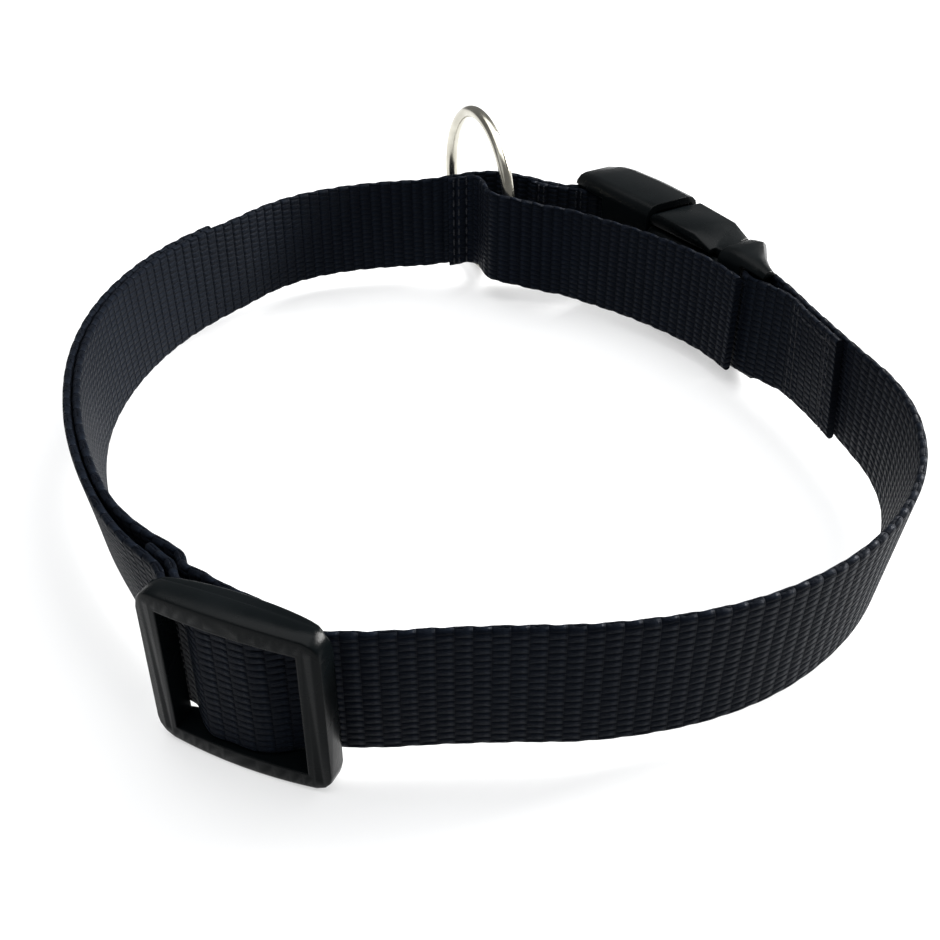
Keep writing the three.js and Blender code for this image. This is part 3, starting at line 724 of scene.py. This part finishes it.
def stitches(name, body, runs):
    """Thread bars along runs of frame points, as one plain mesh."""
    lines = bpy.data.meshes.new(name + "_runs")
    points, edges = [], []
    for run in runs:
        edges += [(len(points) + i, len(points) + i + 1) for i in range(len(run) - 1)]
        points += run
    lines.from_pydata(points, edges, [])
    carrier = bpy.data.objects.new(name + "_runs", lines)
    bpy.context.collection.objects.link(carrier)
    tool = carrier.modifiers.new("stitching", "NODES")
    tool.node_group = stitch_maker
    for item in stitch_maker.interface.items_tree:
        if item.in_out == "INPUT" and item.name in STITCH_SIZES:
            tool[item.identifier] = STITCH_SIZES[item.name]
    bpy.context.view_layer.update()
    evaluated = carrier.evaluated_get(bpy.context.evaluated_depsgraph_get())
    mesh = bpy.data.meshes.new_from_object(evaluated)
    bpy.data.objects.remove(carrier)
    mesh.name = name
    piece = bpy.data.objects.new(name, mesh)
    bpy.context.collection.objects.link(piece)
    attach(piece, body)


def on_ribbon(frames, distance, face, up):
    """A point on one face of a webbing, at the station nearest to a distance."""
    at = min(frames, key=lambda station: abs(station.distance - distance))
    leaning = at.place.normalized() * (at.lean * (up / WEBBING_WIDTH - 0.5))
    plan = at.place + at.left * face * (HALF + STITCH_LIFT) + leaning
    return in_frame(plan, FLOOR_CLEAR + at.lift + up)


def cross_rows(frames, distance, face, rows=2, apart=ROWS_APART):
    """Rows of stitches straight across a webbing."""
    reach = WEBBING_WIDTH - 2 * STITCH_INSET
    heights = [STITCH_INSET + reach * k / CROSS_ROW_PARTS for k in range(CROSS_ROW_PARTS + 1)]
    return [[on_ribbon(frames, distance + r * apart, face, up) for up in heights] for r in range(rows)]


def side_row(frames, start, length, face, up):
    """A row of stitches along a webbing, at one height."""
    places = [start + length * k / SIDE_ROW_PARTS for k in range(SIDE_ROW_PARTS + 1)]
    return [on_ribbon(frames, place, face, up) for place in places]


long_frames = webbing("strap_long_woven", "strap_long", "collar", long_route, lean_at,
                      webbing_finish)
short_frames = webbing("strap_short_woven", "strap_short", "collar", short_route, lean_at,
                       webbing_finish)
guard_frames = webbing("guard_strip_woven", "guard_strip", "collar", guard_route, guard_lean,
                       guard_finish)

dressed_solid("slide_adjuster_moulded", "slide_adjuster", "collar", acetal_finish)
dressed_solid("buckle_socket_moulded", "buckle_socket", "collar", acetal_finish)
dressed_solid("buckle_plug_moulded", "buckle_plug", "collar", acetal_finish)
plated_ring("lead_ring_plated", "lead_ring", "ring", nickel_finish)

stitch_maker = stitch_tree("stitch_bars")
fold_runs = []
for seam in (FOLD_SEAM, FOLD_SECOND_SEAM):
    fold_runs += cross_rows(long_frames, seam, LEFT_FACE)
for up in FOLD_SIDE_HEIGHTS:
    fold_runs.append(side_row(long_frames, FOLD_SEAM, FOLD_SIDE_LENGTH, LEFT_FACE, up))
return_runs = []
for from_end in RETURN_SEAMS_FROM_END:
    return_runs += cross_rows(short_frames, short_frames[-1].distance - from_end, LEFT_FACE)
stitches("fold_stitches", "collar", fold_runs)
stitches("return_stitches", "collar", return_runs)
stitches("guard_stitches", "collar",
         cross_rows(guard_frames, GUARD_SEAM, RIGHT_FACE, rows=GUARD_ROWS, apart=GUARD_ROWS_APART))

# Table, lights and camera

bpy.ops.mesh.primitive_grid_add(x_subdivisions=8, y_subdivisions=8, size=6, location=(0, 0, 0))
table = bpy.context.object
table.name = "table"
table.data.materials.append(paper_finish)


def softbox(name, place, aim, size, power, tint):
    light = bpy.data.lights.new(name, "AREA")
    light.shape = "RECTANGLE"
    light.size, light.size_y = size
    light.energy = power
    light.color = tint
    holder = bpy.data.objects.new(name, light)
    bpy.context.collection.objects.link(holder)
    holder.location = place
    holder.rotation_euler = (Vector(aim) - Vector(place)).to_track_quat("-Z", "Y").to_euler()


softbox("key_right_rear", place=(0.95, 0.6, 0.6), aim=(0, 0, 0.01), size=(0.6, 0.5), power=44,
        tint=(1.0, 0.99, 0.97))
softbox("top", place=(0.0, 0.1, 1.3), aim=(0, 0, 0), size=(1.6, 1.6), power=24, tint=(1.0, 1.0, 1.0))
softbox("fill_left", place=(-0.9, -0.5, 0.6), aim=(0, 0, 0.02), size=(0.8, 0.6), power=1,
        tint=(0.95, 0.97, 1.0))

world = bpy.data.worlds.new("studio")
bpy.context.scene.world = world
world.use_nodes = True
world.node_tree.nodes.clear()
sky = add(world.node_tree, "ShaderNodeBackground")
sky.inputs["Color"].default_value = (1, 1, 1, 1)
sky.inputs["Strength"].default_value = 0.25
add(world.node_tree, "ShaderNodeOutputWorld", Surface=sky.outputs[0])

camera = bpy.data.cameras.new("camera")
camera.lens = CAMERA_LENS
camera.sensor_width = 36
camera.clip_start = 0.01
holder = bpy.data.objects.new("camera", camera)
bpy.context.collection.objects.link(holder)
holder.location = in_frame(Vector((-CAMERA_LEFT, -CAMERA_BACK)), CAMERA_HEIGHT)
holder.rotation_euler = (math.radians(90 - CAMERA_DOWN), 0, 0)
bpy.context.scene.camera = holder
bpy.context.scene.view_settings.view_transform = "Standard"
